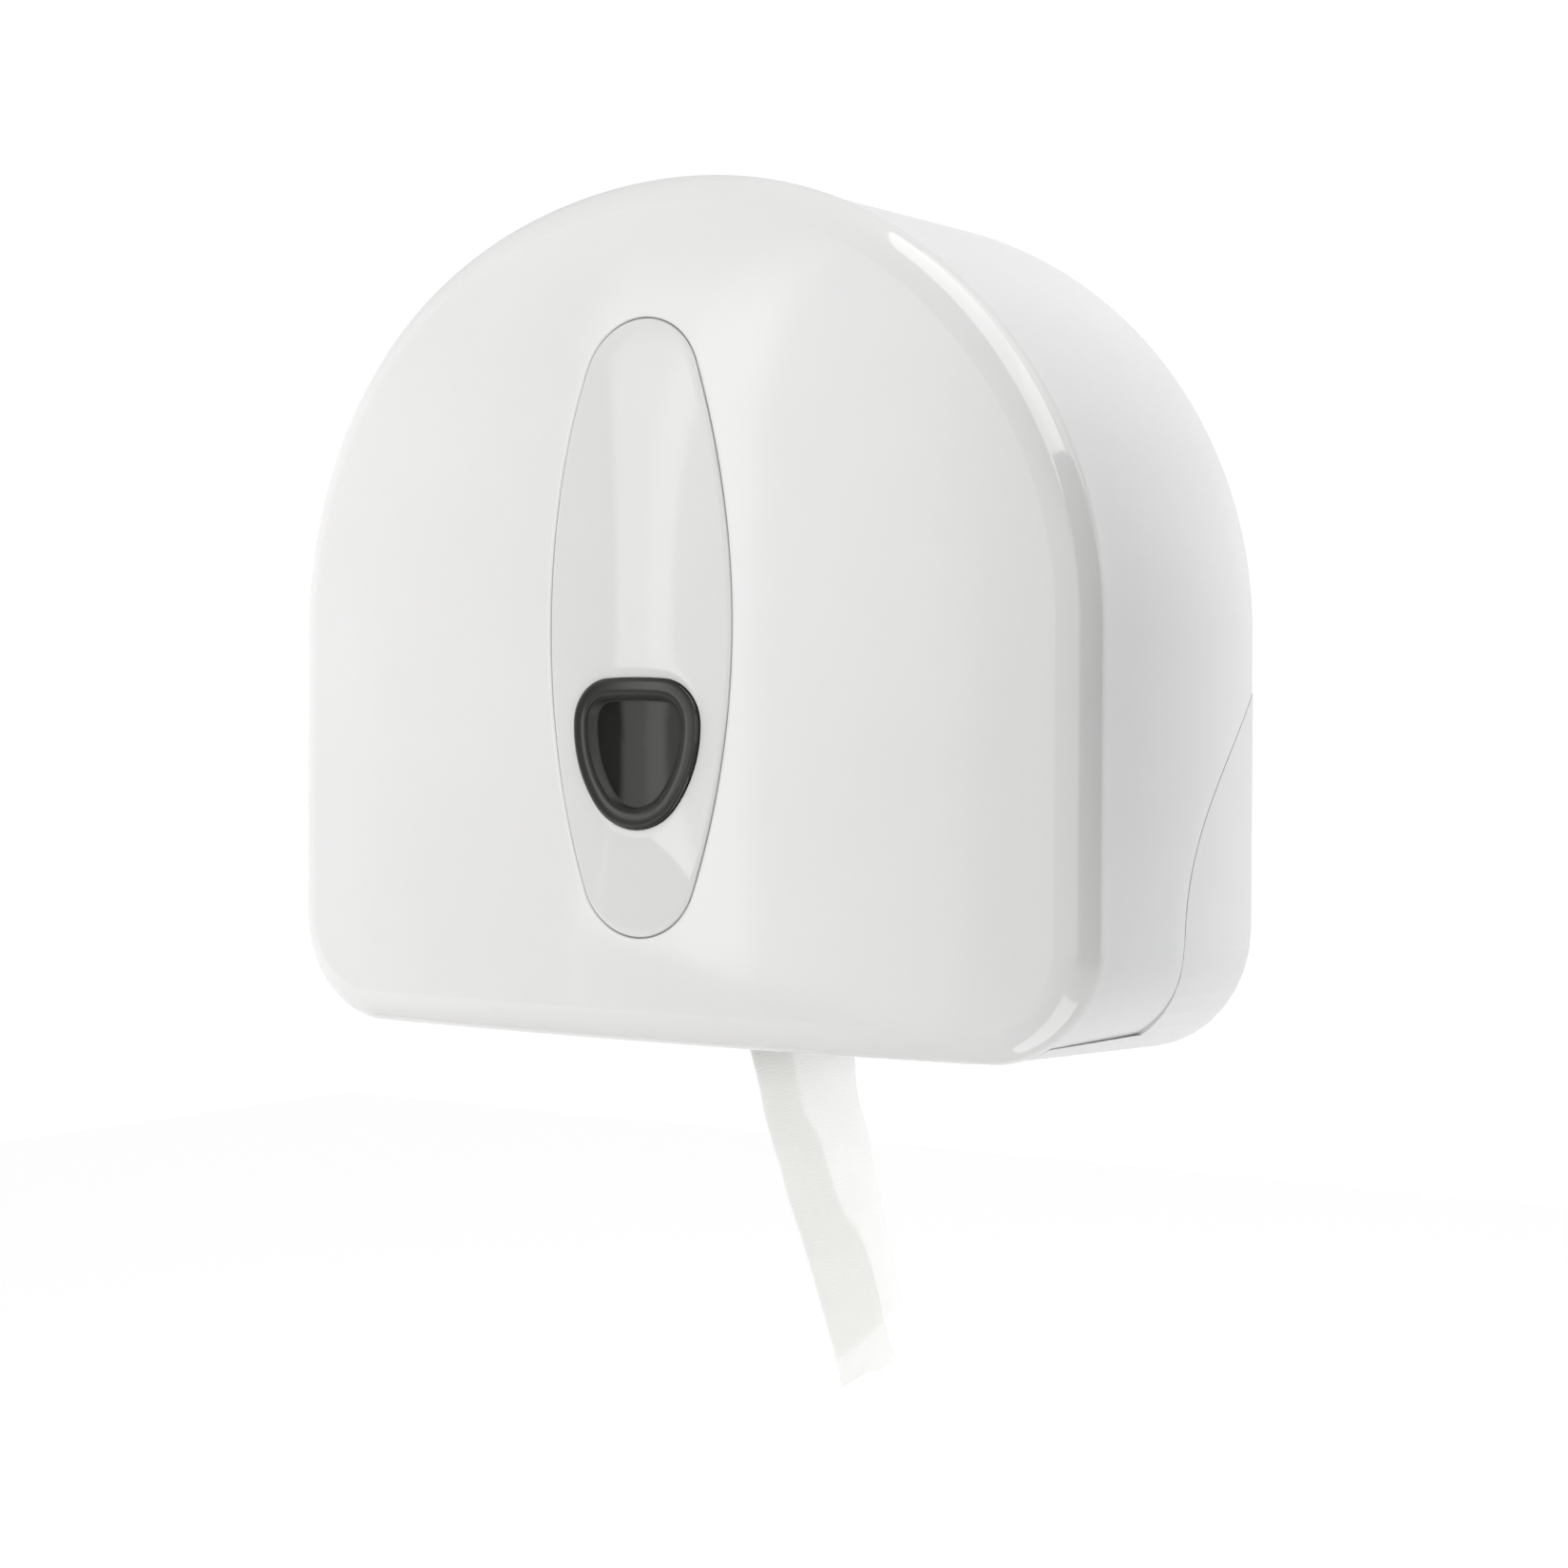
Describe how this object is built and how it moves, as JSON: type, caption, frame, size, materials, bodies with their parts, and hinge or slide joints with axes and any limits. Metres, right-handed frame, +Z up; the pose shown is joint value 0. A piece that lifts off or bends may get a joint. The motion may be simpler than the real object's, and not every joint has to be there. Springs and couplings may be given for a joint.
{
  "type": "jumbo toilet roll dispenser",
  "caption": "Wall-hung arched dispenser for one jumbo toilet roll, with a drop-open cover, a level window, a cam lock, a spindle hub and a bottom paper slot.",
  "frame": {"origin": "centre of the wall screw pattern, on the wall plane and on the spindle's axis", "axes": "+Y into the wall, so the front faces -Y; +Z up; +X to the right seen from the front"},
  "size_m": [0.36, 0.1447, 0.452],
  "materials": {
    "cover_plastic": "gloss front, satin sides",
    "insert_plastic": "gloss",
    "base_plastic": "satin",
    "smoke_plastic": "gloss, smoked",
    "hub_plastic": "satin",
    "steel": "zinc-plated",
    "screw_steel": "zinc-plated",
    "lock_metal": "nickel-plated",
    "washer_rubber": "matte",
    "core_card": "matte",
    "tissue": "soft matte"
  },
  "bodies": {
    "base": {"base_shell": "base_plastic", "tear_strip_left": "steel", "tear_strip_right": "steel", "tear_strip_screws": "screw_steel", "hinge_pin_left": "steel", "hinge_pin_right": "steel", "spindle_plate": "base_plastic", "spindle_plate_screws": "screw_steel", "spindle_post": "steel", "spindle_washer": "washer_rubber", "hub_cap": "hub_plastic", "hub_cap_screw": "screw_steel", "catch_plate": "steel", "catch_screws": "screw_steel", "paper_tail": "tissue"},
    "roll": {"core_hub": "hub_plastic", "core_tube": "core_card", "paper_roll": "tissue"},
    "cover": {"front_cover": "cover_plastic", "cover_insert": "insert_plastic", "level_window": "smoke_plastic", "lock_housing": "lock_metal", "lock_nut": "lock_metal"},
    "lock": {"lock_barrel": "lock_metal", "lock_cam": "steel", "cam_screw": "screw_steel"}
  },
  "joints": [
    {"name": "cover_hinge", "type": "hinge", "parent": "base", "child": "cover", "pos_m": [0, -0.1218, -0.1448], "axis": [1, 0, 0], "range_deg": [0, 95]},
    {"name": "roll_spin", "type": "hinge", "parent": "base", "child": "roll", "pos_m": [0, 0, 0], "axis": [0, 1, 0], "continuous": true},
    {"name": "lock_turn", "type": "hinge", "parent": "cover", "child": "lock", "pos_m": [0, -0.045, 0.15], "axis": [0, 0, 1], "range_deg": [0, 90]}
  ]
}
